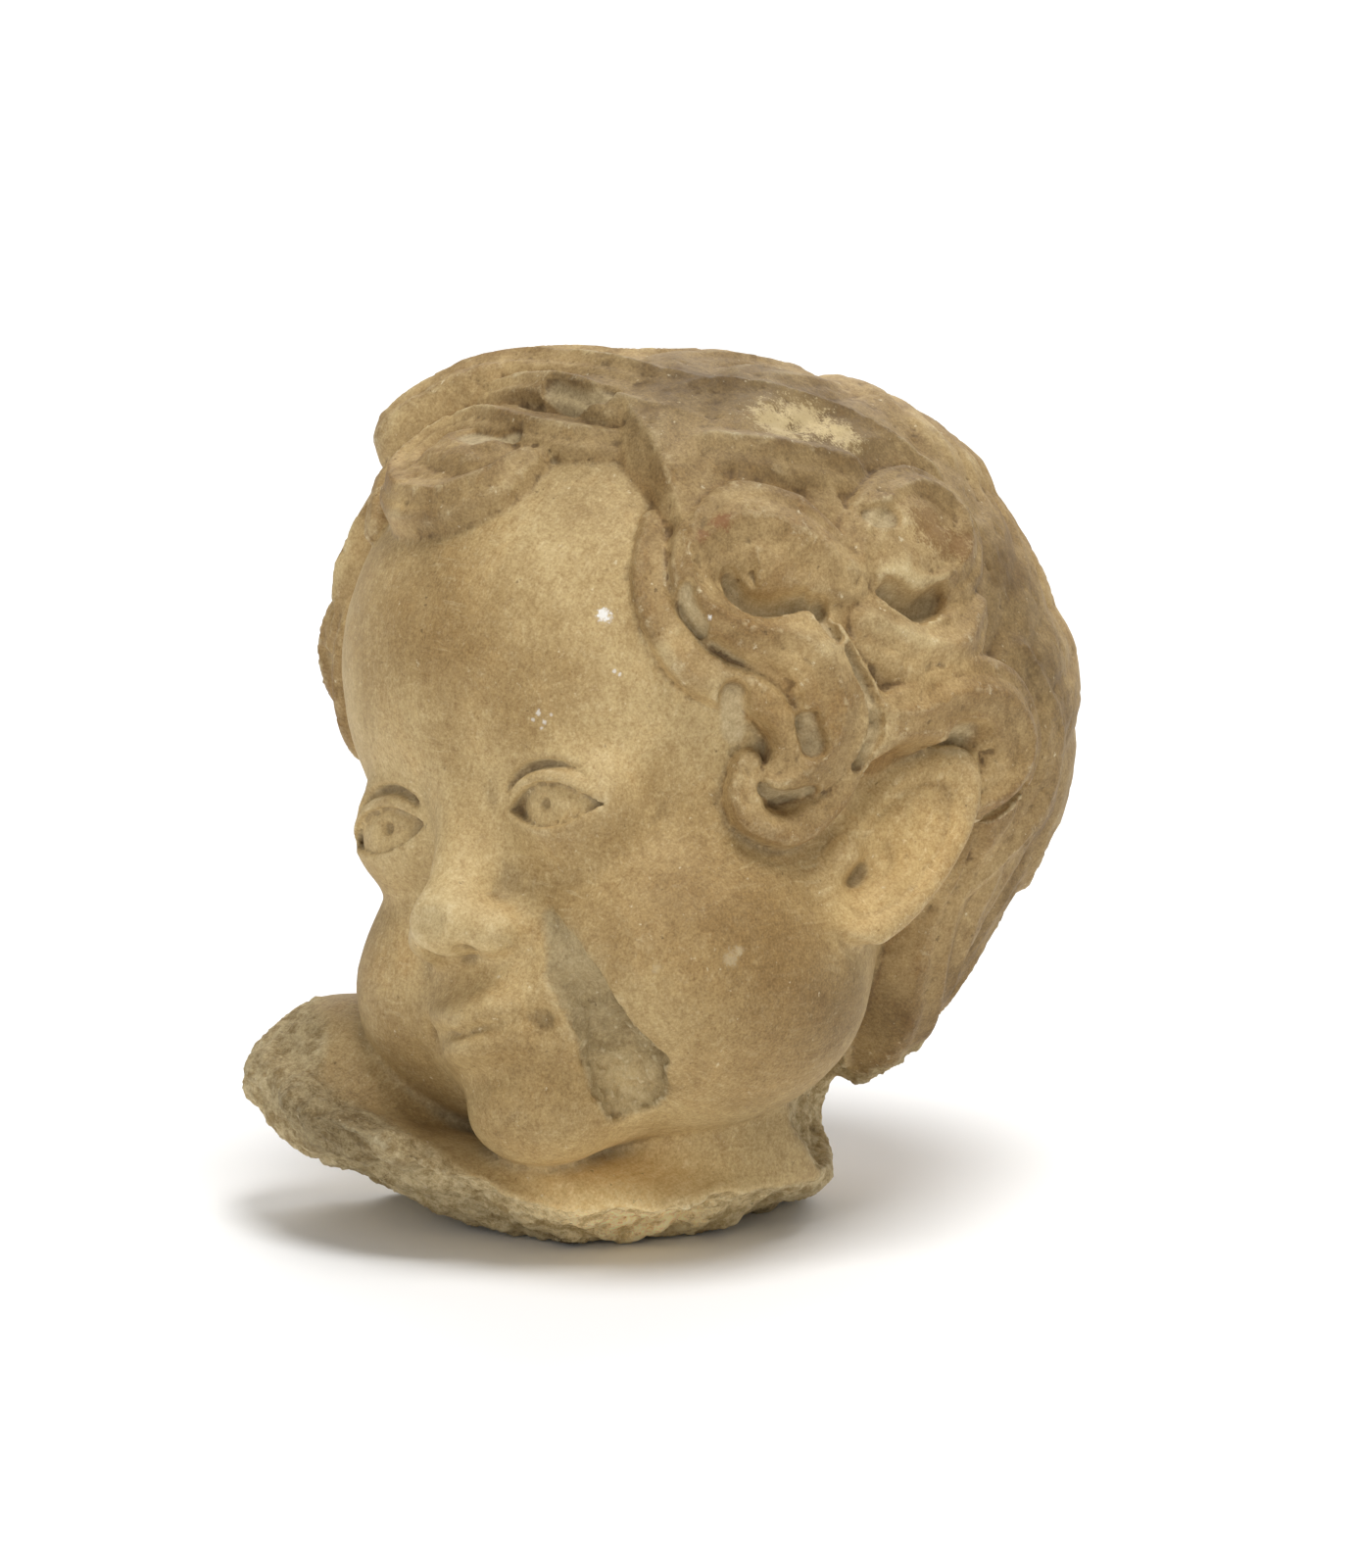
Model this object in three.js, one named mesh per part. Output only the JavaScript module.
// Broken marble head of a curly-haired child. Millimetres, Z up, standing on its broken neck.
// The form is worked out as a field, negative inside, in the head's own frame: X to the child's
// left, -Y forward, Z up, zero in mid-head near the brow. It is then netted, turned and set down.
import * as THREE from 'three';

// Standing pose: how far the head leans to its right and tips back, in degrees, and the floor
// below mid-head. Vertices this close to the floor are laid flat on it.
const HEAD_LEAN = 15;
const HEAD_TIP = 8;
const FLOOR = 108.5;
const FLOOR_BLEND = 0.6;
const FLAT_WITHIN = 0.8;

// Cranium, brow, face, cheeks, jowls, chin and nape: centre, radii and blend of each.
const CRANIUM = [[0, 8.5, 22], [74, 92, 80]];
const SKULL_PARTS = [
  { centre: [0, -30, 37], radii: [65, 58, 54], blend: 22, paired: false },
  { centre: [0, -28, -36], radii: [55, 50, 54], blend: 24, paired: false },
  { centre: [35, -47, -46], radii: [30, 32, 29], blend: 16, paired: true },
  { centre: [32, -24, -52], radii: [32, 36, 32], blend: 18, paired: true },
  { centre: [0, -62, -80], radii: [19, 20, 15], blend: 14, paired: false },
  { centre: [0, 24, -36], radii: [38, 34, 42], blend: 14, paired: false },
];
// Face: the form of each part and how widely it blends into what is there before it. A form off the
// middle lies on both sides. Lips follow a bend that carries them back toward the corners.
const SOCKET = { centre: [27.5, -97, -6], radii: [18, 14, 13], blend: 12 };
const LIDS = { centre: [29.5, -70, -6.4], radii: [17, 14.4, 15.4], blend: 8 };
const EYEBALL = { centre: [29.5, -70, -7], radii: [14.4, 12.2, 12.8], blend: 0.6 };
const EYE_OPENING = { half: 14.5, over: 6.4, under: 5.2, slant: 0.8, behind: 3, blend: 0.9 };
const NOSE_BRIDGE = { from: [0, -77, 0], to: [0, -86, -27], radii: [7, 8.5] };
const NOSE_TIP = { centre: [0, -90, -32.5], radii: [10.5, 9.6, 8.6], blend: 5 };
const NOSE_WING = { centre: [10.4, -84.5, -36], radii: [6.4, 8.4, 6], blend: 4.5 };
const NOSE_BLEND = 8;
const NOSTRIL = { centre: [5.6, -92, -41.5], radii: [3, 6, 3], blend: 1.5 };
const MUZZLE = { centre: [0, -68, -57], radii: [25, 19.5, 16], blend: 10 };
const LIP_BEND = 0.014;
const UPPER_LIP = { centre: [6, -82.6, -55.8], radii: [12, 7.2, 4.4] };
const LIP_MIDDLE = { centre: [0, -85, -57.2], radii: [5.5, 5.6, 3.6], blend: 3 };
const LOWER_LIP = { centre: [0, -82, -64], radii: [14, 7.6, 5], blend: 0.8 };
const LIPS_BLEND = 3;
const PARTING = { level: -60.4, front: -90.5, half: 15.5, bow: 0.54, radius: 1.5, blend: 1.4 };
const MOUTH_CORNER = { centre: [19.6, -82, -60], radii: [2.8, 4.5, 3.6], blend: 5 };
const UNDER_LIP = { centre: [0, -93.5, -73], radii: [14, 9.5, 4.6], blend: 5 };
const LIP_GROOVE = { from: [0, -93.6, -45], to: [0, -93.2, -52], radii: [2.4, 2.9], blend: 3 };

// Ears: place, lean, flare and shear, then plate, rolled rim, hollows and tragus in the ear's own
// frame, across it, out of it and up it. The left lobe is broken off below LOBE_BREAK.
const EAR = { at: [69, 1, -24], lean: 20, flare: 30, shear: 0.36, blend: 4 };
const EAR_PLATE = { centre: [0, -1.5, 0], radii: [14.5, 6.5, 27] };
const EAR_RIM = { half: [13, 25.5], steepness: 14, out: 2.5, radius: 3, blend: 2.5 };
const EAR_HOLLOWS = [
  { centre: [-3, 7, -5], radii: [7.5, 6.5, 11], blend: 3 },
  { centre: [-6, 2.5, -8], radii: [3.5, 6.5, 5], blend: 2 },
  { centre: [2.5, 8.6, 9], radii: [6.5, 4.6, 11], blend: 3 },
];
const TRAGUS = { centre: [-12, 2.5, -6], radii: [4, 4.5, 6], blend: 2.5 };
const LOBE_BREAK = -25;

// Neck and the piece of chest left under the chin.
const NECK = { from: [-4, -2, -50], to: [-22, 6, -130], radii: [40, 43], blend: 2.5 };

// The front-left diagonal, in degrees: the chest and the breaks are laid out across, up and
// outward along it.
const DIAGONAL_ROUND = 45;
const DIAGONAL_UP = 12;
const CHEST = [
  { centre: [-60, -102, 12], radii: [50, 12, 44], slope: 28, blend: 5 },
  { centre: [-76, -91, -8], radii: [37, 17, 32], slope: 30, blend: 6 },
  { centre: [-16, -110, 4], radii: [46, 20, 48], slope: -3, blend: 8 },
  { centre: [-58, -90, -40], radii: [38, 26, 34], slope: 20, blend: 12 },
  { centre: [-80, -80, -16], radii: [34, 27, 36], slope: 22, blend: 10 },
  { centre: [-24, -104, 24], radii: [52, 12, 29], slope: 12, blend: 6 },
];
const RIM = [[-106, -72, 4], [-94, -83, 28], [-71, -94, 42], [-47, -104, 49], [-22, -109, 50]];
const RIM_HALF = [7, 5.5, 5, 4.5, 4];
const RIM_BLEND = 3;
// The broken underside: cuts through these corners, the cuts leaning inward further out.
const BREAKS = [[-114, -30], [-114, -76], [-101, -90], [-52, -112], [-30, -118], [-6, -117], [37, -101]];
const BREAK_FROM = 10;
const BREAK_TILT = 0.25;
const BREAK_BLEND = 2;
// The break behind the collar runs across and outward, only left of and below its limits.
const SHOULDER_CUT = { line: [[-114, -22], [-40, -46]], left: -14, below: -50, offNeck: 2, corner: 4 };
const NOTCH = { side: 37, top: [[32, -82], [72, -62]], corner: 4, blend: 8 };
const RECESS = { centre: [35, -81, 10], radii: [9, 14, 30], slope: 0, blend: 3 };
// Unevenness of the broken faces and of the losses: height and fineness of each wave.
const BREAK_WAVES = [[1.8, 0.7], [0.9, 1.9]];
const LOSS_WAVES = [[0.7, 2.3], [1.5, 1.2]];
const TIP_WAVES = [[0.7, 2.3]];
const CHEEK_LOSS = [[24, -82, -34], [30, -82, -47], [34, -76, -62], [33, -66, -73], [27, -58, -82]];
const CHEEK_LOSS_HALF = [5, 8, 9, 10.5, 9];
const LOSS_BLEND = 1;
const TIP_LOSS = { front: -97.5, level: -34, reach: 16, blend: 0.6 };

// Hair: directions are [round, up] in degrees seen from SCALP_CENTRE, 0 at the face, + to the left.
const SCALP_CENTRE = [0, 8, 12];
const STRAND_GROOVE = 1.5;
const LOCK_EDGE = 5;
const LOCK_ROUNDNESS = 0.35;
const LOCK_WALL = 16;
const LOCK_BLEND = 1.5;
const HAIR_REACH = 30;
const BED_HEIGHT = 8.5;
const BED_RIDGE = 2.6;
const BED_START = 1;
const BED_RISE = 0.9;
const BARE = -2;
const BED_SWELLS = [
  { middle: [76, 10], half: [44, 42], rise: -2.4 },
  { middle: [142, 52], half: [30, 16], rise: 3 },
  { middle: [141, -3], half: [28, 20], rise: 3 },
];
const CROWN = [176, 58];
const HAIRLINE_ROUND = [0, 15, 30, 38, 44, 52, 66, 80, 95, 110, 130, 180];
const HAIRLINE_UP = [54, 52, 46, 35, 20, 2, -12, -12, -6, -34, -60, -66];
const SIDE_LOCKS = [
  { name: 'temple curl', strands: 2, width: [8, 11.5, 12, 9], height: [12, 15, 16, 13],
    way: [[47, 25], [54, 28], [62, 26], [70, 23]] },
  { name: 'long S lock', strands: 2, width: [4, 4.5, 4.5, 5, 7, 9, 9.5, 9, 7, 5],
    height: [11, 12, 12, 13, 14, 15, 15, 14, 13, 10],
    way: [[46, 29], [44, 22], [46, 16], [52, 12], [58, 11], [64, 8], [67, 1], [66, -5], [61, -10],
      [56, -12]] },
  { name: 'hairline lock', strands: 1, width: [4.5, 5, 5.5, 5.5, 5.5, 5, 4.5, 4, 3.5, 3],
    height: [4, 5, 6, 7, 8, 9, 10, 11, 11, 9],
    way: [[39, 31], [38, 25], [38, 19], [40, 13], [43, 8], [48, 5], [53, 3], [57, -1], [58, -6],
      [56, -10]] },
  { name: 'lower rim', strands: 1, width: [4, 4.5, 4.5, 4.5, 4.5, 4, 3.5, 3],
    height: [8, 9, 9, 9, 10, 11, 12, 12],
    way: [[51, -9], [50, -14], [51, -18], [56, -21], [61, -20], [67, -16], [70, -12], [73, -7]] },
  { name: 'upper curl', strands: 2, width: [5, 6, 7, 8, 8, 8, 7, 5],
    height: [11, 13, 14, 15, 15, 15, 14, 12],
    way: [[74, 20], [77, 28], [85, 34], [97, 37], [105, 32], [101, 25], [92, 21], [83, 21]] },
  { name: 'upper curl middle', strands: 1, width: [11, 11], height: [15.5, 16],
    way: [[84, 26], [92, 29]] },
  { name: 'wave above the ear', strands: 2, width: [8, 10, 9, 6], height: [13, 15, 15, 13],
    way: [[77, 13], [85, 10], [94, 10], [102, 16]] },
  { name: 'lock over the ear', strands: 2, width: [4, 5, 7, 8, 9, 9, 8, 6, 4],
    height: [12, 14, 15, 16, 17, 17, 16, 14, 12],
    way: [[72, 5], [75, -1], [84, -1], [94, 2], [105, 0], [111, -7], [108, -14], [102, -17], [96, -19]] },
  { name: 'rope by the ear', strands: 1, width: [3, 3.5, 4, 4, 3.5], height: [10, 13, 15, 15, 14],
    way: [[69, -14], [71, -9], [76, -5], [83, -3], [90, -4]] },
  { name: 'lock behind the ear', strands: 2, width: [7, 9, 9, 8, 6], height: [12, 14, 14, 12, 10],
    way: [[117, 8], [126, -4], [125, -17], [119, -27], [112, -35]] },
  { name: 'upper nape lock', strands: 2, width: [7, 9, 10, 9, 7], height: [10, 12, 13, 13, 11],
    way: [[122, -24], [120, -36], [126, -48], [138, -55]] },
  { name: 'lower nape lock', strands: 2, width: [6, 8, 10, 9, 7], height: [9, 12, 14, 14, 11],
    way: [[112, -30], [113, -43], [121, -54], [138, -62], [156, -66]] },
  { name: 'end behind the ear', strands: 2, width: [6, 7, 6], height: [8, 10, 8],
    way: [[108, -22], [106, -32], [109, -43]] },
];
const TOP_LOCKS = [
  { name: 'forelock', strands: 2, width: [7, 8, 7, 6.5, 6, 6.5, 8, 8.5, 8, 6],
    height: [5, 7, 8.5, 10, 11, 11, 10, 8.5, 8, 7],
    way: [[33, 47], [20, 48], [6, 51], [-9, 54], [-20, 51], [-21, 44], [-11, 38], [0, 36], [9, 38],
      [13, 42]] },
  { name: 'forelock middle', strands: 1, width: [9, 8], height: [9.5, 9.5],
    way: [[-9, 46], [4, 43]] },
  { name: 'small lock', strands: 1, width: [4, 5, 4], height: [13, 12, 6],
    way: [[-31, 50], [-32, 43], [-28, 36]] },
  { name: 'first top wave', strands: 2, width: [6, 7, 8, 9, 8], height: [10, 13, 16, 21, 22],
    way: [[62, 58], [38, 62], [12, 66], [-12, 66], [-29, 59], [-36, 51]] },
  { name: 'second top wave', strands: 2, width: [7, 9, 10, 9], height: [10, 12, 18, 21],
    way: [[90, 78], [20, 80], [-16, 75], [-32, 67], [-44, 58]] },
  { name: 'third top wave', strands: 2, width: [5, 7, 6, 5], height: [9, 11, 13, 13],
    way: [[50, 49], [34, 52], [18, 58], [0, 60], [-14, 59]] },
  { name: 'lower root', strands: 2, width: [6, 9, 9, 9], height: [5, 11, 13, 12],
    way: [[40, 39], [49, 44], [62, 43], [80, 43]] },
  { name: 'upper root', strands: 2, width: [6, 8, 9, 8, 7], height: [8, 12, 12, 12, 12],
    way: [[38, 54], [53, 59], [76, 59], [96, 53], [108, 42]] },
];
const BACK_ROWS = [
  { up: -18, count: 4, from: 146 },
  { up: -42, count: 3, from: 158 },
];
const BACK_SWAY = 12;
const BACK_WAY = [[-0.8, 14], [0.2, 8], [0.5, -1], [0, -8], [-0.6, -5]];
const BACK_WIDTH = [5, 8, 9, 8, 5];
const BACK_HEIGHT = [10, 12, 13, 13, 11];
const BACK_STRANDS = 3;
// Drilled hollows of the curls: half width, depth and way; the twin ones repeat on the far side.
const HOLLOWS = [
  { half: [2.4, 3.2, 3.2, 2.2], depth: 6.5, twin: true, way: [[50, 20], [52, 17], [56, 16], [62, 17]] },
  { half: [2.2, 2.6, 2], depth: 5, twin: true, way: [[43, 18], [43, 16], [45, 13]] },
  { half: [3.6, 3.8], depth: 7, twin: true, way: [[49, 3], [49, -3]] },
  { half: [2.8, 3], depth: 5, twin: false, way: [[61, -2], [62, -6]] },
  { half: [1.8, 2.4, 1.8], depth: 5, twin: false, way: [[53, -13], [57, -15], [62, -14]] },
  { half: [2.8, 2.4, 1.6], depth: 5, twin: false, way: [[65, 16], [65, 14], [67, 11]] },
  { half: [1.6, 2.1, 2.1, 1.8, 1.6], depth: 5.5, twin: true,
    way: [[69, 9], [71, 6], [73, 2], [74, -4], [71, -10]] },
  { half: [2.8, 3.8, 2.8], depth: 8, twin: true, way: [[80, 19], [86, 16.5], [92, 18]] },
  { half: [3.2, 3.2], depth: 3, twin: false, way: [[80, 31], [83, 31]] },
  { half: [4, 4.2], depth: 7, twin: false, way: [[95, -6], [98, -6]] },
  { half: [1.6, 2.2, 1.6], depth: 6, twin: false, way: [[106, -20], [110, -17], [114, -14]] },
  { half: [3, 3.4, 3], depth: 2.5, twin: false, way: [[-4, 48], [3, 46], [8, 47]] },
  { half: [2, 2.4, 1.8], depth: 5, twin: false, way: [[-24, 45], [-22, 40], [-20, 35]] },
  { half: [3, 3.4, 3], depth: 3.5, twin: false, way: [[12, 57], [21, 54], [28, 54]] },
];
const HOLLOW_FLOOR = 0.5;
const TWIN_SHIFT = 6;

// Netting: cell of the grid and the box it covers, in the head's frame.
const CELL = 2;
const BLOCK = 4;
const GRID_LOW = [-130, -126, -150];
const GRID_HIGH = [112, 128, 128];
const FILLED = 0.15;
// Thinning of the net: how many triangles stay, a slight preference for short edges, how far a
// triangle may turn and shrink, and how much more the flat underside and the face's features count.
const MOST_TRIANGLES = 9900;
const THIN_SHORT = 0.02;
const LEAST_AGREEMENT = 0.3;
const LEAST_AREA = 0.05;
const FLOOR_WEIGHT = 10;
const FEATURES_MIDDLE = [0, -84, -32];
const FEATURES_REACH = 46;
const FEATURES_WEIGHT = 8;

const rad = THREE.MathUtils.degToRad;
const clamp = THREE.MathUtils.clamp;

function smoothMin(a, b, k) {
  const h = clamp(0.5 + 0.5 * (b - a) / k, 0, 1);
  return b + (a - b) * h - k * h * (1 - h);
}

function smoothMax(a, b, k) {
  return -smoothMin(-a, -b, k);
}

// Ellipsoid about a centre.
function egg(x, y, z, c, r) {
  const dx = x - c[0];
  const dy = y - c[1];
  const dz = z - c[2];
  const near = Math.hypot(dx / r[0], dy / r[1], dz / r[2]);
  const slope = Math.hypot(dx / r[0] ** 2, dy / r[1] ** 2, dz / r[2] ** 2);
  return near * (near - 1) / Math.max(slope, 1e-6);
}

// Round-ended bar from a to b, tapering from one radius to the other.
function bar(x, y, z, a, b, ra, rb) {
  const d = [b[0] - a[0], b[1] - a[1], b[2] - a[2]];
  const px = x - a[0];
  const py = y - a[1];
  const pz = z - a[2];
  const t = clamp((px * d[0] + py * d[1] + pz * d[2]) / (d[0] ** 2 + d[1] ** 2 + d[2] ** 2), 0, 1);
  return Math.hypot(px - t * d[0], py - t * d[1], pz - t * d[2]) - (ra + (rb - ra) * t);
}

function along(values, t) {
  const s = clamp(t, 0, 1) * (values.length - 1);
  const i = Math.min(Math.floor(s), values.length - 2);
  return values[i] + (values[i + 1] - values[i]) * (s - i);
}

function interpolate(at, xs, ys) {
  let i = 0;
  while (i < xs.length - 2 && at > xs[i + 1]) {
    i += 1;
  }
  const t = clamp((at - xs[i]) / (xs[i + 1] - xs[i]), 0, 1);
  return ys[i] + (ys[i + 1] - ys[i]) * t;
}

function skull(x, y, z) {
  const side = Math.sqrt(x * x + 1);
  let f = egg(x, y, z, CRANIUM[0], CRANIUM[1]);
  for (const part of SKULL_PARTS) {
    f = smoothMin(f, egg(part.paired ? side : x, y, z, part.centre, part.radii), part.blend);
  }
  return f;
}

function barOf(x, y, z, form) {
  return bar(x, y, z, form.from, form.to, form.radii[0], form.radii[1]);
}

function joined(f, x, y, z, form) {
  return smoothMin(f, egg(x, y, z, form.centre, form.radii), form.blend);
}

function hollowed(f, x, y, z, form) {
  return smoothMax(f, -egg(x, y, z, form.centre, form.radii), form.blend);
}

function nose(side, y, z) {
  const f = joined(barOf(side, y, z, NOSE_BRIDGE), side, y, z, NOSE_TIP);
  return joined(f, side, y, z, NOSE_WING);
}

// Lids drawn out of the face and opened along two curved edges, with the ball behind.
function eyes(side, y, z, face) {
  const u = (side - EYEBALL.centre[0]) / EYE_OPENING.half;
  const v = z - EYEBALL.centre[2];
  const upperEdge = EYE_OPENING.over * (1 - Math.abs(u) ** 2.3) - EYE_OPENING.slant * u;
  const lowerEdge = -EYE_OPENING.under * (1 - u * u) - EYE_OPENING.slant * u;
  const between = Math.max(v - upperEdge, lowerEdge - v) * 0.95;
  const opening = Math.max(between, y - EYEBALL.centre[1] + EYE_OPENING.behind);
  const f = smoothMax(joined(face, side, y, z, LIDS), -opening, EYE_OPENING.blend);
  return joined(f, side, y, z, EYEBALL);
}

function mouth(side, y, z, face) {
  const bent = y - LIP_BEND * side * side;
  let lips = joined(egg(side, bent, z, UPPER_LIP.centre, UPPER_LIP.radii), side, bent, z, LIP_MIDDLE);
  lips = joined(lips, side, bent, z, LOWER_LIP);
  const line = z - PARTING.level + PARTING.bow * Math.cos(side * 0.28) - 0.006 * side * side;
  const parting = Math.hypot((bent - PARTING.front) * 0.4, line, Math.max(side - PARTING.half, 0));
  let f = smoothMin(face, lips, LIPS_BLEND);
  f = smoothMax(f, PARTING.radius - parting, PARTING.blend);
  f = hollowed(f, side, y, z, MOUTH_CORNER);
  f = hollowed(f, side, bent, z, UNDER_LIP);
  return smoothMax(f, -barOf(side, y, z, LIP_GROOVE), LIP_GROOVE.blend);
}

function face(x, y, z, bare) {
  const side = Math.abs(x);
  let f = eyes(side, y, z, hollowed(bare, side, y, z, SOCKET));
  f = smoothMin(f, nose(side, y, z), NOSE_BLEND);
  f = mouth(side, y, z, joined(f, side, y, z, MUZZLE));
  return hollowed(f, side, y, z, NOSTRIL);
}

// Ear: plate and rolled rim, hollows cut in, tragus in front. Side is 1 or -1.
function ear(x, y, z, side, isBroken) {
  const [px, py, pz] = [x * side - EAR.at[0], y - EAR.at[1], z - EAR.at[2]];
  const lean = rad(EAR.lean);
  const flare = rad(EAR.flare);
  const v = pz * Math.cos(lean) + py * Math.sin(lean);
  const back = py * Math.cos(lean) - pz * Math.sin(lean);
  const u = back * Math.cos(flare) + px * Math.sin(flare) - EAR.shear * v;
  const w = px * Math.cos(flare) - back * Math.sin(flare);
  const offRim = (Math.hypot(u / EAR_RIM.half[0], v / EAR_RIM.half[1]) - 1) * EAR_RIM.steepness;
  const rim = Math.hypot(offRim, w - EAR_RIM.out) - EAR_RIM.radius;
  let f = smoothMin(egg(u, w, v, EAR_PLATE.centre, EAR_PLATE.radii), rim, EAR_RIM.blend);
  for (const hollow of EAR_HOLLOWS) {
    f = hollowed(f, u, w, v, hollow);
  }
  f = joined(f, u, w, v, TRAGUS);
  return isBroken ? smoothMax(f, LOBE_BREAK - v + lumps(x * 2, y * 2, z * 2), 1) : f;
}

// Slow unevenness of broken stone, between -1 and 1.
function lumps(x, y, z) {
  const a = Math.sin(x * 0.21 + 1.3 * Math.sin(y * 0.17));
  const b = Math.sin(y * 0.25 + 1.1 * Math.sin(z * 0.19 + 2));
  const c = Math.sin(z * 0.23 + 1.2 * Math.sin(x * 0.18 + 1));
  return (a + b + c) / 3;
}

function uneven(x, y, z, waves) {
  let sum = 0;
  for (const [height, fineness] of waves) {
    sum += height * lumps(x * fineness, y * fineness, z * fineness);
  }
  return sum;
}

function direction(round, up) {
  const a = rad(round);
  const e = rad(up);
  return [Math.sin(a) * Math.cos(e), -Math.cos(a) * Math.cos(e), Math.sin(e)];
}

// Point of the bare skull in a direction from the scalp's centre.
function onSkull(d) {
  let inner = 20;
  let outer = 150;
  for (let i = 0; i < 20; i += 1) {
    const r = (inner + outer) / 2;
    const inside = skull(...SCALP_CENTRE.map((c, k) => c + d[k] * r)) < 0;
    inner = inside ? r : inner;
    outer = inside ? outer : r;
  }
  return SCALP_CENTRE.map((c, k) => c + d[k] * (inner + outer) / 2);
}

// A lock: stations along a smooth way over the skull, each with half width and height.
function makeLock(way, width, height, strands) {
  const curve = new THREE.CatmullRomCurve3(
    way.map(([round, up]) => new THREE.Vector3(...direction(round, up))), false, 'catmullrom', 0.5);
  const count = (way.length - 1) * 4;
  const stations = [];
  for (let i = 0; i <= count; i += 1) {
    const t = i / count;
    stations.push({
      at: onSkull(curve.getPoint(t).normalize().toArray()),
      width: along(width, t),
      height: along(height, t),
    });
  }
  const reach = Math.max(...width) + 4;
  const low = [0, 1, 2].map((k) => Math.min(...stations.map((s) => s.at[k])) - reach);
  const high = [0, 1, 2].map((k) => Math.max(...stations.map((s) => s.at[k])) + reach);
  return { stations, strands, low, high };
}

// Where a point of the scalp lies on a lock: distance and side in half widths, and the height there.
function onLock(lock, x, y, z) {
  let best = { far: Infinity, side: 0, height: 0 };
  let nearest = Infinity;
  for (let i = 0; i + 1 < lock.stations.length; i += 1) {
    const a = lock.stations[i];
    const b = lock.stations[i + 1];
    const d = [b.at[0] - a.at[0], b.at[1] - a.at[1], b.at[2] - a.at[2]];
    const q = [x - a.at[0], y - a.at[1], z - a.at[2]];
    const span = d[0] ** 2 + d[1] ** 2 + d[2] ** 2 + 1e-6;
    const s = clamp((q[0] * d[0] + q[1] * d[1] + q[2] * d[2]) / span, 0, 1);
    const gap = Math.hypot(q[0] - s * d[0], q[1] - s * d[1], q[2] - s * d[2]);
    if (gap < nearest) {
      nearest = gap;
      const out = [0, 1, 2].map((k) => (a.at[k] + b.at[k]) / 2 - SCALP_CENTRE[k]);
      const n = [d[1] * out[2] - d[2] * out[1], d[2] * out[0] - d[0] * out[2],
        d[0] * out[1] - d[1] * out[0]];
      const width = a.width + (b.width - a.width) * s;
      best = {
        far: gap / width,
        side: (q[0] * n[0] + q[1] * n[1] + q[2] * n[2]) / (Math.hypot(...n) * width),
        height: a.height + (b.height - a.height) * s,
      };
    }
  }
  return best;
}

function within(lock, x, y, z) {
  return x > lock.low[0] && x < lock.high[0] && y > lock.low[1] && y < lock.high[1]
    && z > lock.low[2] && z < lock.high[2];
}

function mirrored(way) {
  return way.map(([round, up]) => [-round - TWIN_SHIFT, up]);
}

const locks = [];
for (const lock of SIDE_LOCKS) {
  locks.push(makeLock(lock.way, lock.width, lock.height, lock.strands));
  locks.push(makeLock(mirrored(lock.way), lock.width, lock.height, lock.strands));
}
for (const lock of TOP_LOCKS) {
  locks.push(makeLock(lock.way, lock.width, lock.height, lock.strands));
}
for (const row of BACK_ROWS) {
  for (let i = 0; i < row.count; i += 1) {
    const round = row.from + (360 - 2 * row.from) * i / (row.count - 1);
    const sway = (i % 2 ? BACK_SWAY : -BACK_SWAY) / Math.max(Math.cos(rad(row.up)), 0.5);
    const way = BACK_WAY.map(([swayed, up]) => [round + sway * swayed, row.up + up]);
    locks.push(makeLock(way, BACK_WIDTH, BACK_HEIGHT, BACK_STRANDS));
  }
}
const hollows = [];
for (const hole of HOLLOWS) {
  hollows.push(makeLock(hole.way, hole.half, [hole.depth, hole.depth], 0));
  if (hole.twin) {
    hollows.push(makeLock(mirrored(hole.way), hole.half, [hole.depth, hole.depth], 0));
  }
}

// The hair between the locks: wavy strands that run out from the crown.
const crown = new THREE.Vector3(...direction(CROWN[0], CROWN[1]));
const aside = new THREE.Vector3(-crown.y, crown.x, 0).normalize();
const ahead = crown.clone().cross(aside);
function bedHeight(dx, dy, dz, round, up) {
  const out = new THREE.Vector3(dx, dy, dz).normalize();
  const toward = Math.acos(clamp(out.dot(crown), -1, 1));
  const bearing = Math.atan2(out.dot(aside), out.dot(ahead));
  const flow = 10 * bearing + 1.1 * Math.sin(7 * toward + 2 * bearing)
    + 0.5 * Math.sin(13 * toward - 3 * bearing);
  const swell = Math.min(1, 1.6 * toward) * (0.75 + 0.25 * Math.sin(5 * toward + 3 * bearing));
  let height = BED_HEIGHT + swell * BED_RIDGE * Math.abs(Math.sin(flow));
  for (const { middle, half, rise } of BED_SWELLS) {
    const off = ((Math.abs(round) - middle[0]) / half[0]) ** 2 + ((up - middle[1]) / half[1]) ** 2;
    height += rise * clamp(2 - 2 * off, 0, 1);
  }
  return height;
}

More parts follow.
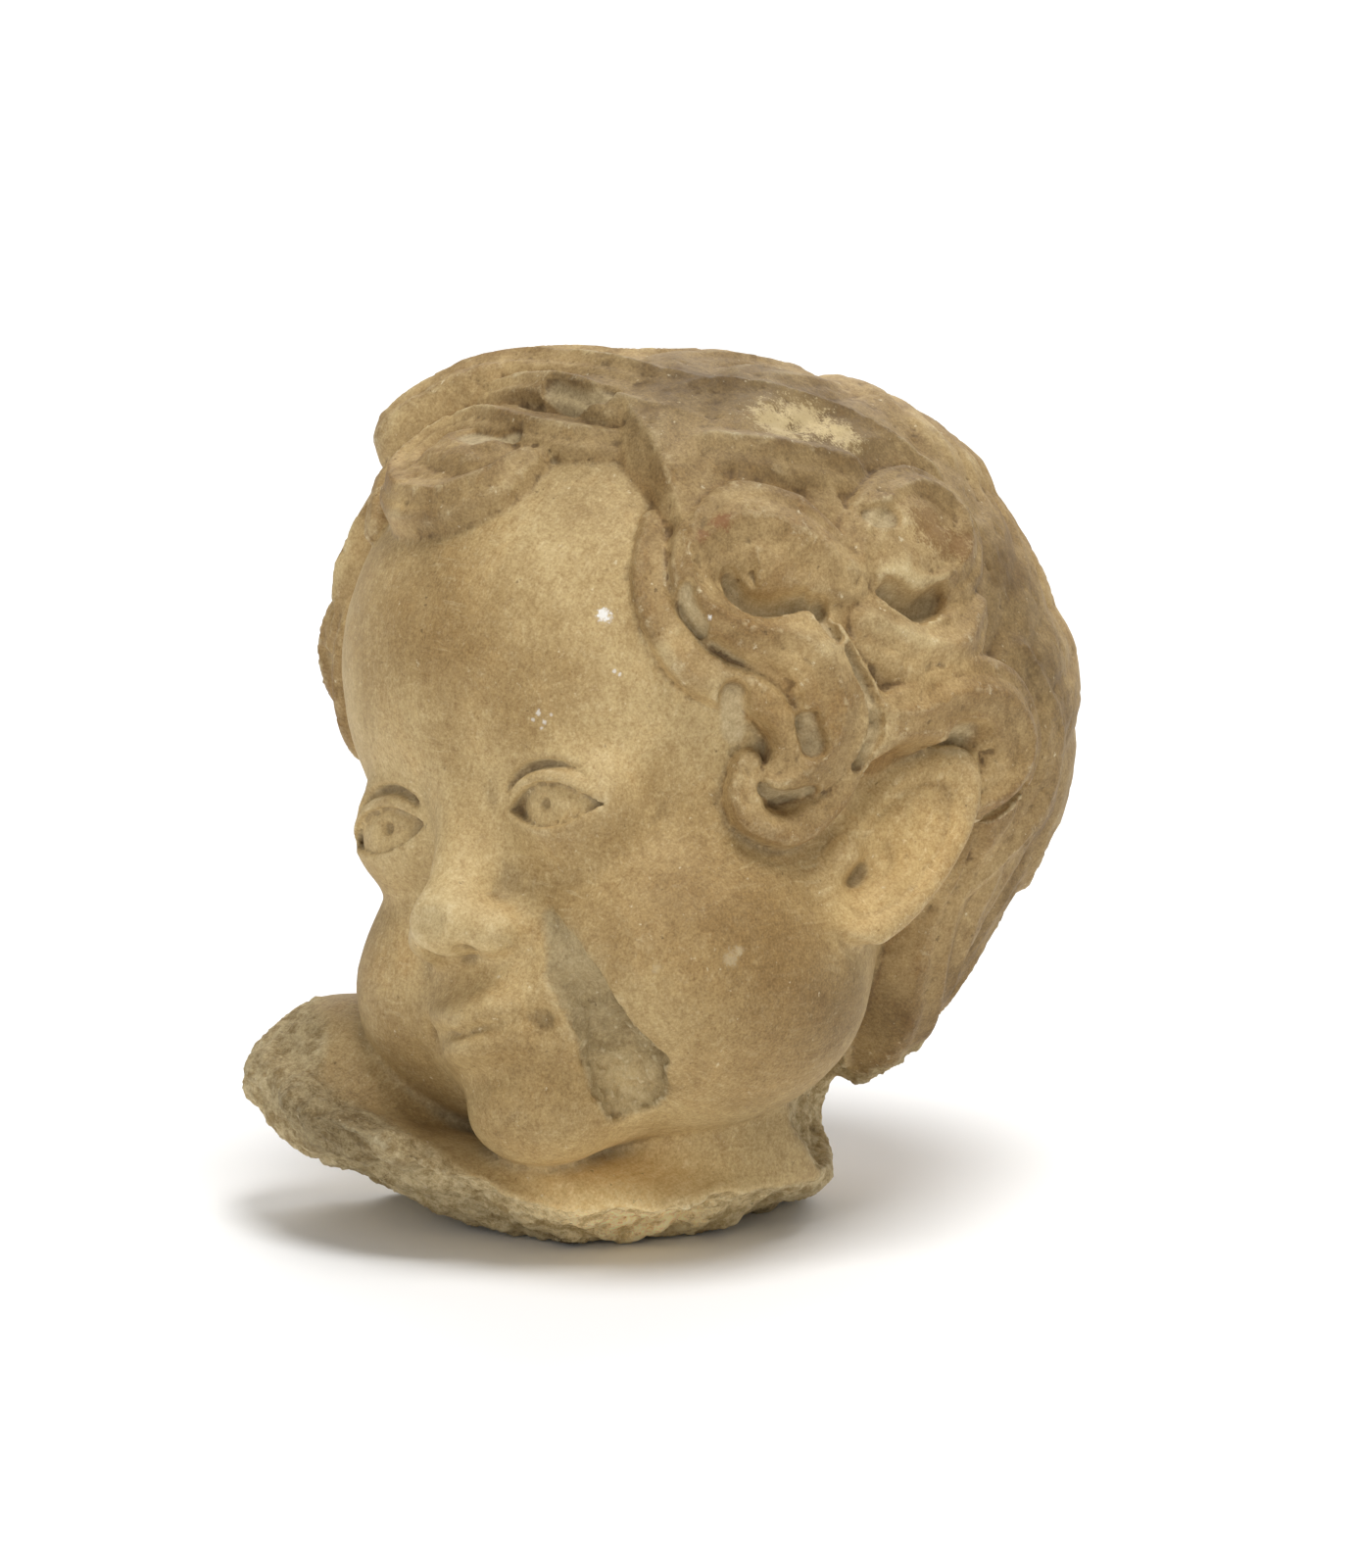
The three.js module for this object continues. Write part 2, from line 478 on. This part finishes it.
// Height of the hair over the bare skull, at a point of the skull.
function hairHeight(x, y, z) {
  const [dx, dy, dz] = [x - SCALP_CENTRE[0], y - SCALP_CENTRE[1], z - SCALP_CENTRE[2]];
  const round = Math.atan2(dx, -dy) / rad(1);
  const up = Math.asin(clamp(dz / Math.hypot(dx, dy, dz), -1, 1)) / rad(1);
  const inside = up - interpolate(Math.abs(round), HAIRLINE_ROUND, HAIRLINE_UP);
  let height = clamp(inside * BED_RISE + BED_START, BARE, bedHeight(dx, dy, dz, round, up));
  for (const lock of locks) {
    if (within(lock, x, y, z)) {
      const at = onLock(lock, x, y, z);
      const far = Math.min(at.far, 1);
      const rounded = LOCK_ROUNDNESS * (1 - Math.sqrt(1 - far ** 2)) + (1 - LOCK_ROUNDNESS) * far ** 2;
      const edge = LOCK_EDGE * rounded + LOCK_WALL * Math.max(at.far - 1, 0);
      const groove = (0.5 - 0.5 * Math.cos(Math.PI * lock.strands * (at.side + 1)))
        * STRAND_GROOVE * clamp(1.6 - 1.6 * far, 0, 1);
      height = smoothMax(height, at.height - edge - groove, LOCK_BLEND);
    }
  }
  for (const hole of hollows) {
    if (within(hole, x, y, z)) {
      const at = onLock(hole, x, y, z);
      const cut = at.height * clamp(1 - at.far ** 2, 0, 1);
      height = Math.max(height - cut, Math.min(height, HOLLOW_FLOOR));
    }
  }
  return height;
}

function hair(x, y, z, bare) {
  if (Math.abs(bare) > HAIR_REACH) {
    return bare - BARE;
  }
  const [dx, dy, dz] = [x - SCALP_CENTRE[0], y - SCALP_CENTRE[1], z - SCALP_CENTRE[2]];
  const k = 1 - bare / (Math.hypot(dx, dy, dz) + 1e-3);
  return bare - hairHeight(SCALP_CENTRE[0] + dx * k, SCALP_CENTRE[1] + dy * k, SCALP_CENTRE[2] + dz * k);
}

// The head's frame turned into the standing frame: leaned to its right, then tipped back.
const tip = new THREE.Matrix4().makeRotationX(rad(-HEAD_TIP));
const stand = tip.multiply(new THREE.Matrix4().makeRotationY(rad(-HEAD_LEAN)));
const turn = stand.elements;

function standing(x, y, z) {
  return [
    turn[0] * x + turn[4] * y + turn[8] * z,
    turn[1] * x + turn[5] * y + turn[9] * z,
    turn[2] * x + turn[6] * y + turn[10] * z,
  ];
}

// Across, up and outward along the diagonal, for a point of the standing frame.
function diagonal([x, y, z]) {
  const a = rad(DIAGONAL_ROUND);
  const e = rad(DIAGONAL_UP);
  const level = x * Math.sin(a) - y * Math.cos(a);
  return [
    x * Math.cos(a) + y * Math.sin(a),
    z * Math.cos(e) - level * Math.sin(e),
    z * Math.sin(e) + level * Math.cos(e),
  ];
}

// Ellipsoid placed on the diagonal, its long side sloping down to the right.
function slopedEgg([across, up, out], { centre, radii, slope }) {
  const a = rad(slope);
  const dx = across - centre[0];
  const dz = up - centre[1];
  return egg(dx * Math.cos(a) - dz * Math.sin(a), out - centre[2], dx * Math.sin(a) + dz * Math.cos(a),
    [0, 0, 0], [radii[0], radii[2], radii[1]]);
}

// Distance from the plane seen edge-on as the line from a to b, positive on its lower right side.
function beyond([across, up], a, b) {
  const dx = b[0] - a[0];
  const dy = b[1] - a[1];
  return ((across - a[0]) * dy - (up - a[1]) * dx) / Math.hypot(dx, dy);
}

function neckAndChest(x, y, z, where) {
  let f = barOf(x, y, z, NECK);
  for (const part of CHEST) {
    f = smoothMin(f, slopedEgg(where, part), part.blend);
  }
  for (let i = 0; i + 1 < RIM.length; i += 1) {
    f = smoothMin(f, bar(...where, RIM[i], RIM[i + 1], RIM_HALF[i], RIM_HALF[i + 1]), RIM_BLEND);
  }
  return f;
}

// The broken underside, the break behind the collar, and a notch under the nape.
function broken(whole, where, rough, offNeck) {
  const tilt = BREAK_TILT * Math.max(where[2] - BREAK_FROM, 0);
  let f = whole;
  for (let i = 0; i + 1 < BREAKS.length; i += 1) {
    f = smoothMax(f, beyond(where, BREAKS[i], BREAKS[i + 1]) + tilt + rough, BREAK_BLEND);
  }
  const { line, left, below, corner } = SHOULDER_CUT;
  let behind = smoothMin(beyond([where[0], where[2]], line[0], line[1]), offNeck - SHOULDER_CUT.offNeck,
    corner);
  behind = smoothMin(behind, Math.min(left - where[0], below - where[1]), corner);
  f = smoothMax(f, behind + rough, BREAK_BLEND);
  const notch = smoothMin(where[0] - NOTCH.side, beyond(where, NOTCH.top[0], NOTCH.top[1]), NOTCH.corner);
  f = smoothMax(f, notch + rough, NOTCH.blend);
  return smoothMax(f, -(slopedEgg(where, RECESS) + rough), RECESS.blend);
}

function chipped(whole, x, y, z) {
  let loss = Infinity;
  for (let i = 0; i + 1 < CHEEK_LOSS.length; i += 1) {
    loss = Math.min(loss, bar(x, y, z, CHEEK_LOSS[i], CHEEK_LOSS[i + 1], CHEEK_LOSS_HALF[i],
      CHEEK_LOSS_HALF[i + 1]));
  }
  const f = smoothMax(whole, -(loss + uneven(x, y, z, LOSS_WAVES)), LOSS_BLEND);
  const nearTip = TIP_LOSS.reach - Math.hypot(x, z - TIP_LOSS.level);
  const tipCut = smoothMin(TIP_LOSS.front - y + uneven(x, y, z, TIP_WAVES), nearTip, 1);
  return smoothMax(f, tipCut, TIP_LOSS.blend);
}

function head(x, y, z) {
  const bare = skull(x, y, z);
  const stood = standing(x, y, z);
  const where = diagonal(stood);
  let f = face(x, y, z, bare);
  f = smoothMin(f, ear(x, y, z, 1, true), EAR.blend);
  f = smoothMin(f, ear(x, y, z, -1, false), EAR.blend);
  f = smoothMin(f, hair(x, y, z, bare), LOCK_BLEND);
  f = smoothMin(f, neckAndChest(x, y, z, where), NECK.blend);
  f = broken(f, where, uneven(x, y, z, BREAK_WAVES), barOf(x, y, z, NECK));
  f = chipped(f, x, y, z);
  return smoothMax(f, -FLOOR - stood[2], FLOOR_BLEND);
}

// Samples of the field on the grid's corners; a block far from the surface takes one value.
const counts = GRID_LOW.map((low, k) => BLOCK * Math.ceil((GRID_HIGH[k] - low) / CELL / BLOCK));
const strides = [1, counts[0], counts[0] * counts[1]];
const samples = new Float64Array(counts[0] * counts[1] * counts[2]);
function sampleBlock(bi, bj, bk) {
  const corner = (n, m) => GRID_LOW[m] + n * CELL;
  const middle = (BLOCK - 1) / 2;
  const whole = head(corner(bi + middle, 0), corner(bj + middle, 1), corner(bk + middle, 2));
  for (let k = bk; k < bk + BLOCK; k += 1) {
    for (let j = bj; j < bj + BLOCK; j += 1) {
      for (let i = bi; i < bi + BLOCK; i += 1) {
        samples[i + j * strides[1] + k * strides[2]] = Math.abs(whole) > CELL * BLOCK
          ? whole : head(corner(i, 0), corner(j, 1), corner(k, 2));
      }
    }
  }
}
for (let k = 0; k < counts[2]; k += BLOCK) {
  for (let j = 0; j < counts[1]; j += BLOCK) {
    for (let i = 0; i < counts[0]; i += BLOCK) {
      sampleBlock(i, j, k);
    }
  }
}

// Square faces and cells whose only inside or outside corners face each other across a diagonal
// would pinch the net: their outside corners are filled until none is left.
function fillPinches() {
  let filled = 0;
  const fill = (corners) => {
    for (const at of corners) {
      if (samples[at] >= 0) {
        samples[at] = -FILLED * CELL;
        filled += 1;
      }
    }
  };
  for (let k = 0; k + 1 < counts[2]; k += 1) {
    for (let j = 0; j + 1 < counts[1]; j += 1) {
      for (let i = 0; i + 1 < counts[0]; i += 1) {
        const at = i + j * strides[1] + k * strides[2];
        for (const [p, q] of [[0, 1], [1, 2], [0, 2]]) {
          const square = [at, at + strides[p], at + strides[p] + strides[q], at + strides[q]];
          const inside = square.map((c) => samples[c] < 0);
          if (inside[0] === inside[2] && inside[1] === inside[3] && inside[0] !== inside[1]) {
            fill(square);
          }
        }
        for (let c = 0; c < 4; c += 1) {
          const near = at + (c & 1) + (c & 2 ? strides[1] : 0);
          const far = at + 1 - (c & 1) + (c & 2 ? 0 : strides[1]) + strides[2];
          const cell = [0, 1, 2, 3, 4, 5, 6, 7].map((n) => at + (n & 1)
            + (n & 2 ? strides[1] : 0) + (n & 4 ? strides[2] : 0));
          const odd = cell.filter((v) => (samples[v] < 0) === (samples[near] < 0));
          if (odd.length === 2 && odd.includes(far)) {
            fill(cell);
          }
        }
      }
    }
  }
  return filled;
}
while (fillPinches() > 0);

// Samples on one side of the surface that no walk along the grid reaches: shut-in voids.
function fillVoids() {
  const reached = new Uint8Array(samples.length);
  const queue = [0];
  reached[0] = 1;
  while (queue.length > 0) {
    const at = queue.pop();
    for (const stride of strides) {
      for (const next of [at - stride, at + stride]) {
        if (next >= 0 && next < samples.length && !reached[next] && samples[next] >= 0) {
          reached[next] = 1;
          queue.push(next);
        }
      }
    }
  }
  samples.forEach((value, at) => {
    if (value >= 0 && !reached[at]) {
      samples[at] = -FILLED * CELL;
    }
  });
}
fillVoids();

// One vertex in each cell the surface crosses, at the mean of its crossings.
const vertexOf = new Map();
const points = [];
for (let k = 0; k + 1 < counts[2]; k += 1) {
  for (let j = 0; j + 1 < counts[1]; j += 1) {
    for (let i = 0; i + 1 < counts[0]; i += 1) {
      const sum = [0, 0, 0];
      let crossings = 0;
      for (let axis = 0; axis < 3; axis += 1) {
        const [p, q] = [(axis + 1) % 3, (axis + 2) % 3];
        for (let n = 0; n < 4; n += 1) {
          const corner = [i, j, k];
          corner[p] += n & 1;
          corner[q] += n >> 1;
          const at = corner[0] + corner[1] * strides[1] + corner[2] * strides[2];
          const a = samples[at];
          const b = samples[at + strides[axis]];
          if ((a < 0) !== (b < 0)) {
            corner[axis] += a / (a - b);
            corner.forEach((v, m) => {
              sum[m] += v;
            });
            crossings += 1;
          }
        }
      }
      if (crossings > 0) {
        vertexOf.set(i + j * strides[1] + k * strides[2], points.length);
        points.push(standing(...sum.map((v, m) => GRID_LOW[m] + CELL * v / crossings)));
      }
    }
  }
}
// Stood on the floor: the lowest vertices are laid flat on it.
for (const point of points) {
  point[2] = point[2] + FLOOR < FLAT_WITHIN ? 0 : point[2] + FLOOR;
}

// A square of four vertices round every grid edge the surface crosses, as two triangles.
const faces = [];
for (let k = 1; k + 1 < counts[2]; k += 1) {
  for (let j = 1; j + 1 < counts[1]; j += 1) {
    for (let i = 1; i + 1 < counts[0]; i += 1) {
      const at = i + j * strides[1] + k * strides[2];
      for (let axis = 0; axis < 3; axis += 1) {
        const [p, q] = [strides[(axis + 1) % 3], strides[(axis + 2) % 3]];
        const inside = samples[at] < 0;
        if (inside !== samples[at + strides[axis]] < 0) {
          const ring = [at, at - p, at - p - q, at - q].map((c) => vertexOf.get(c));
          const [a, b, c, d] = inside ? ring : ring.reverse();
          faces.push([a, b, c], [a, c, d]);
        }
      }
    }
  }
}

function minus(a, b) {
  return [a[0] - b[0], a[1] - b[1], a[2] - b[2]];
}

function cross(a, b) {
  return [a[1] * b[2] - a[2] * b[1], a[2] * b[0] - a[0] * b[2], a[0] * b[1] - a[1] * b[0]];
}

function dot(a, b) {
  return a[0] * b[0] + a[1] * b[1] + a[2] * b[2];
}

// Thinning: the edge whose closing moves the surface least is closed first. Each vertex carries the
// planes of the faces it stands for, as the sums of n*n, n*d and d*d of their equations.
const facesOf = points.map(() => new Set());
faces.forEach((face, f) => face.forEach((v) => facesOf[v].add(f)));
const planes = points.map(() => new Float64Array(10));

function addPlane(sums, n, d, weight) {
  const row = [n[0], n[1], n[2], d];
  let at = 0;
  for (let i = 0; i < 4; i += 1) {
    for (let j = i; j < 4; j += 1) {
      sums[at] += row[i] * row[j] * weight;
      at += 1;
    }
  }
}

function facing(face, moved, to) {
  const [a, b, c] = face.map((v) => (moved.includes(v) ? to : points[v]));
  return cross(minus(b, a), minus(c, a));
}

const features = standing(...FEATURES_MIDDLE);
for (const face of faces) {
  const n = facing(face, [], null);
  const size = Math.hypot(...n) || 1e-9;
  const unit = n.map((v) => v / size);
  const flat = face.every((v) => points[v][2] < FLAT_WITHIN);
  const [x, y, z] = points[face[0]];
  const away = Math.hypot(x - features[0], y - features[1], z - FLOOR - features[2]);
  const weight = (flat ? FLOOR_WEIGHT : 1) * (away < FEATURES_REACH ? FEATURES_WEIGHT : 1);
  face.forEach((v) => addPlane(planes[v], unit, -dot(unit, points[face[0]]), size * weight));
}

function error(q, [x, y, z]) {
  return q[0] * x * x + 2 * q[1] * x * y + 2 * q[2] * x * z + 2 * q[3] * x + q[4] * y * y
    + 2 * q[5] * y * z + 2 * q[6] * y + q[7] * z * z + 2 * q[8] * z + q[9];
}

// Best place for the vertex an edge closes to: the least error, or the better of three on the edge.
function meeting(u, v) {
  const q = planes[u].map((value, i) => value + planes[v][i]);
  const [a, b, c] = [[q[0], q[1], q[2]], [q[1], q[4], q[5]], [q[2], q[5], q[7]]];
  const right = [-q[3], -q[6], -q[8]];
  const size = dot(a, cross(b, c));
  const middle = points[u].map((value, i) => (value + points[v][i]) / 2);
  const choices = [points[u], points[v], middle];
  if (Math.abs(size) > 1e-3 * (q[0] + q[4] + q[7]) ** 3) {
    const best = [dot(right, cross(b, c)), dot(a, cross(right, c)), dot(a, cross(b, right))];
    const solved = best.map((value) => value / size);
    if (Math.hypot(...minus(solved, middle)) < 2 * CELL) {
      choices.push(solved);
    }
  }
  const onFloor = points[u][2] === 0 && points[v][2] === 0;
  const costs = choices.map((at) => error(q, at) + THIN_SHORT * dot(minus(at, middle), minus(at, middle)));
  const pick = costs.indexOf(Math.min(...costs));
  const to = [choices[pick][0], choices[pick][1], onFloor ? 0 : Math.max(choices[pick][2], 0)];
  const length = Math.hypot(...minus(points[u], points[v]));
  return { to, cost: costs[pick] + THIN_SHORT * length * length, sums: q };
}

const heap = [];
function push(item) {
  let at = heap.length;
  heap.push(item);
  while (at > 0 && heap[(at - 1) >> 1].cost > item.cost) {
    heap[at] = heap[(at - 1) >> 1];
    at = (at - 1) >> 1;
  }
  heap[at] = item;
}

function pop() {
  const top = heap[0];
  const last = heap.pop();
  let at = 0;
  while (2 * at + 1 < heap.length) {
    let child = 2 * at + 1;
    if (child + 1 < heap.length && heap[child + 1].cost < heap[child].cost) {
      child += 1;
    }
    if (heap[child].cost >= last.cost) {
      break;
    }
    heap[at] = heap[child];
    at = child;
  }
  if (heap.length > 0) {
    heap[at] = last;
  }
  return top;
}

const age = new Int32Array(points.length);
function offer(u, v) {
  const found = meeting(u, v);
  push({ u, v, ages: [age[u], age[v]], ...found });
}

function around(v) {
  const ring = new Set();
  facesOf[v].forEach((f) => faces[f].forEach((w) => ring.add(w)));
  ring.delete(v);
  return ring;
}

faces.forEach((face) => face.forEach((u, n) => {
  const v = face[(n + 1) % 3];
  if (u < v) {
    offer(u, v);
  }
}));
let left = faces.length;
while (left > MOST_TRIANGLES && heap.length > 0) {
  const { u, v, ages, to, sums } = pop();
  if (ages[0] === age[u] && ages[1] === age[v] && age[u] >= 0) {
    const ringU = around(u);
    const shared = [...around(v)].filter((w) => ringU.has(w));
    const kept = [...facesOf[u], ...facesOf[v]]
      .filter((f) => !(faces[f].includes(u) && faces[f].includes(v)));
    const sound = shared.length === 2 && kept.every((f) => {
      const before = facing(faces[f], [], null);
      const after = facing(faces[f], [u, v], to);
      return dot(before, after) > LEAST_AGREEMENT * Math.hypot(...before) * Math.hypot(...after)
        && Math.hypot(...after) > LEAST_AREA;
    });
    if (sound) {
      for (const f of facesOf[u]) {
        if (faces[f].includes(v)) {
          faces[f].forEach((w) => facesOf[w].delete(f));
          faces[f] = null;
          left -= 1;
        }
      }
      for (const f of facesOf[v]) {
        faces[f] = faces[f].map((w) => (w === v ? u : w));
        facesOf[u].add(f);
      }
      points[u] = to;
      planes[u] = sums;
      age[u] += 1;
      age[v] = -1;
      around(u).forEach((w) => offer(u, w));
    }
  }
}

const used = new Map();
const placed = [];
const triangles = faces.filter(Boolean).flat().map((v) => {
  if (!used.has(v)) {
    used.set(v, placed.length);
    placed.push(points[v]);
  }
  return used.get(v);
});
const geometry = new THREE.BufferGeometry();
geometry.setAttribute('position', new THREE.Float32BufferAttribute(placed.flat(), 3));
geometry.setIndex(triangles);
geometry.computeBoundingBox();
const box = geometry.boundingBox;
geometry.translate(-(box.min.x + box.max.x) / 2, -(box.min.y + box.max.y) / 2, 0);
geometry.computeVertexNormals();

const marble = new THREE.MeshStandardMaterial({ color: 0xb08f5c, roughness: 0.75 });
const mesh = new THREE.Mesh(geometry, marble);
mesh.name = 'head';
const part = new THREE.Group();
part.add(mesh);
export default part;
